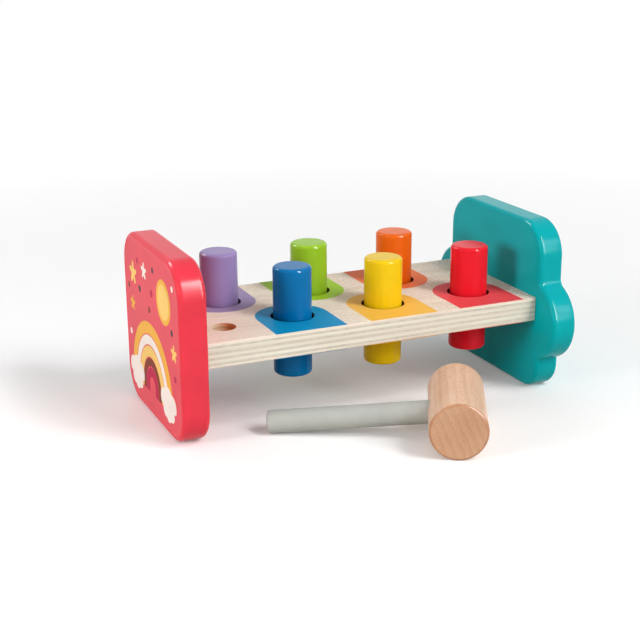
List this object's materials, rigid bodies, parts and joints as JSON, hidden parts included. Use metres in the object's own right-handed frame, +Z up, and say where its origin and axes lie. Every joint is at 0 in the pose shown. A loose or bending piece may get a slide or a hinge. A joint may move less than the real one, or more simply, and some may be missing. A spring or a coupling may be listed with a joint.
{
  "type": "peg pounding bench",
  "caption": "Wooden pounding bench toy: coloured pegs slide through rubber-gripped holes in a plywood board between two shaped end panels, with a wooden mallet.",
  "frame": {"origin": "middle of the footprint of bench and mallet together, on the floor", "axes": "+X along the board towards the lobed teal end panel, -Y towards the player and the mallet, +Z up"},
  "size_m": [0.3, 0.2524, 0.13],
  "materials": {
    "plywood": "sanded birch plywood with a clear coat",
    "coral_paint": "gloss painted wood",
    "teal_paint": "gloss painted wood",
    "dowel_wood": "bare hardwood",
    "grip_rubber": "matte black rubber",
    "purple_paint": "gloss painted wood",
    "blue_paint": "gloss painted wood",
    "green_paint": "gloss painted wood",
    "yellow_paint": "gloss painted wood",
    "orange_paint": "gloss painted wood",
    "red_paint": "gloss painted wood",
    "beech": "clear coated beech",
    "grey_paint": "satin painted wood"
  },
  "bodies": {
    "bench": {"bench_board": "plywood", "left_end_panel": "coral_paint", "right_end_panel": "teal_paint", "left_front_dowel": "dowel_wood", "left_middle_dowel": "dowel_wood", "left_back_dowel": "dowel_wood", "right_front_dowel": "dowel_wood", "right_middle_dowel": "dowel_wood", "right_back_dowel": "dowel_wood", "purple_grip_ring": "grip_rubber", "blue_grip_ring": "grip_rubber", "green_grip_ring": "grip_rubber", "yellow_grip_ring": "grip_rubber", "orange_grip_ring": "grip_rubber", "red_grip_ring": "grip_rubber"},
    "purple_peg_body": {"purple_peg": "purple_paint"},
    "blue_peg_body": {"blue_peg": "blue_paint"},
    "green_peg_body": {"green_peg": "green_paint"},
    "yellow_peg_body": {"yellow_peg": "yellow_paint"},
    "orange_peg_body": {"orange_peg": "orange_paint"},
    "red_peg_body": {"red_peg": "red_paint"},
    "mallet": {"mallet_head": "beech", "mallet_handle": "grey_paint"}
  },
  "joints": [
    {"name": "purple_peg_slide", "type": "slide", "parent": "bench", "child": "purple_peg_body", "axis": [0, 0, 1], "range_m": [-0.032, 0.048]},
    {"name": "blue_peg_slide", "type": "slide", "parent": "bench", "child": "blue_peg_body", "axis": [0, 0, 1], "range_m": [-0.031, 0.048]},
    {"name": "green_peg_slide", "type": "slide", "parent": "bench", "child": "green_peg_body", "axis": [0, 0, 1], "range_m": [-0.031, 0.048]},
    {"name": "yellow_peg_slide", "type": "slide", "parent": "bench", "child": "yellow_peg_body", "axis": [0, 0, 1], "range_m": [-0.029, 0.048]},
    {"name": "orange_peg_slide", "type": "slide", "parent": "bench", "child": "orange_peg_body", "axis": [0, 0, 1], "range_m": [-0.032, 0.048]},
    {"name": "red_peg_slide", "type": "slide", "parent": "bench", "child": "red_peg_body", "axis": [0, 0, 1], "range_m": [-0.03, 0.048]},
    {"name": "mallet_lift", "type": "slide", "parent": "bench", "child": "mallet", "axis": [0, -0.6, 0.8], "range_m": [0, 0.15]}
  ]
}
